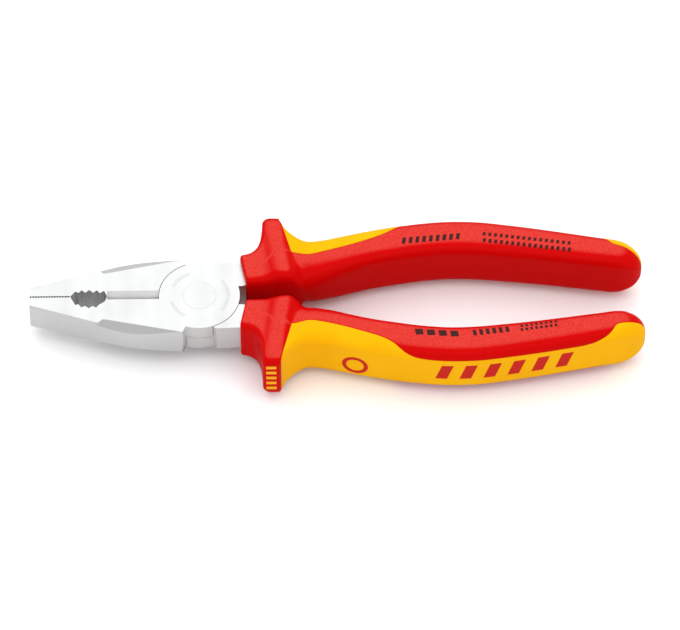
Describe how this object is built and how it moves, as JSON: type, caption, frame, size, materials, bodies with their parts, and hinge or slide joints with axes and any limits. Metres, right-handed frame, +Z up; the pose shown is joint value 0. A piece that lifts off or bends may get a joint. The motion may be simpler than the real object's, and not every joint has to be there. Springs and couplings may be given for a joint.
{
  "type": "combination pliers",
  "caption": "Insulated combination pliers with lap joint, toothed nose, pipe grip and cutters, and guarded two-colour grips.",
  "frame": {"origin": "centre of the box's underside: the guards' undersides are at z = 0, halfway between nose and tail", "axes": "+X from nose to tail along the closed tool, +Y across the jaws towards the handle of lever A, +Z up along the joint's axis"},
  "size_m": [0.19, 0.056, 0.0225],
  "materials": {
    "head_steel": "satin chrome over forged steel",
    "rivet_steel": "ground flush",
    "sleeve_plastic": "moulded, hidden inside the grip",
    "grip_red": "semi-gloss moulded, fine grain",
    "panel_yellow": "satin soft plastic",
    "mark_red": "flush inlay",
    "mark_yellow": "flush inlay"
  },
  "bodies": {
    "fixed_half": {"jaw_lever_b": "head_steel", "rivet": "rivet_steel", "tang_sleeve_b": "sleeve_plastic", "grip_body_b": "grip_red", "soft_panel_b": "panel_yellow", "panel_stripes_b": "mark_red", "panel_ring_b": "mark_red", "guard_bars_b": "mark_yellow"},
    "swing_half": {"jaw_lever_a": "head_steel", "tang_sleeve_a": "sleeve_plastic", "grip_body_a": "grip_red", "soft_panel_a": "panel_yellow", "panel_stripes_a": "mark_red", "panel_ring_a": "mark_red", "guard_bars_a": "mark_yellow"}
  },
  "joints": [
    {"name": "lap_pivot", "type": "hinge", "parent": "fixed_half", "child": "swing_half", "pos_m": [-0.0425, 0, 0.01125], "axis": [0, 0, 1], "range_deg": [0, 36]}
  ]
}
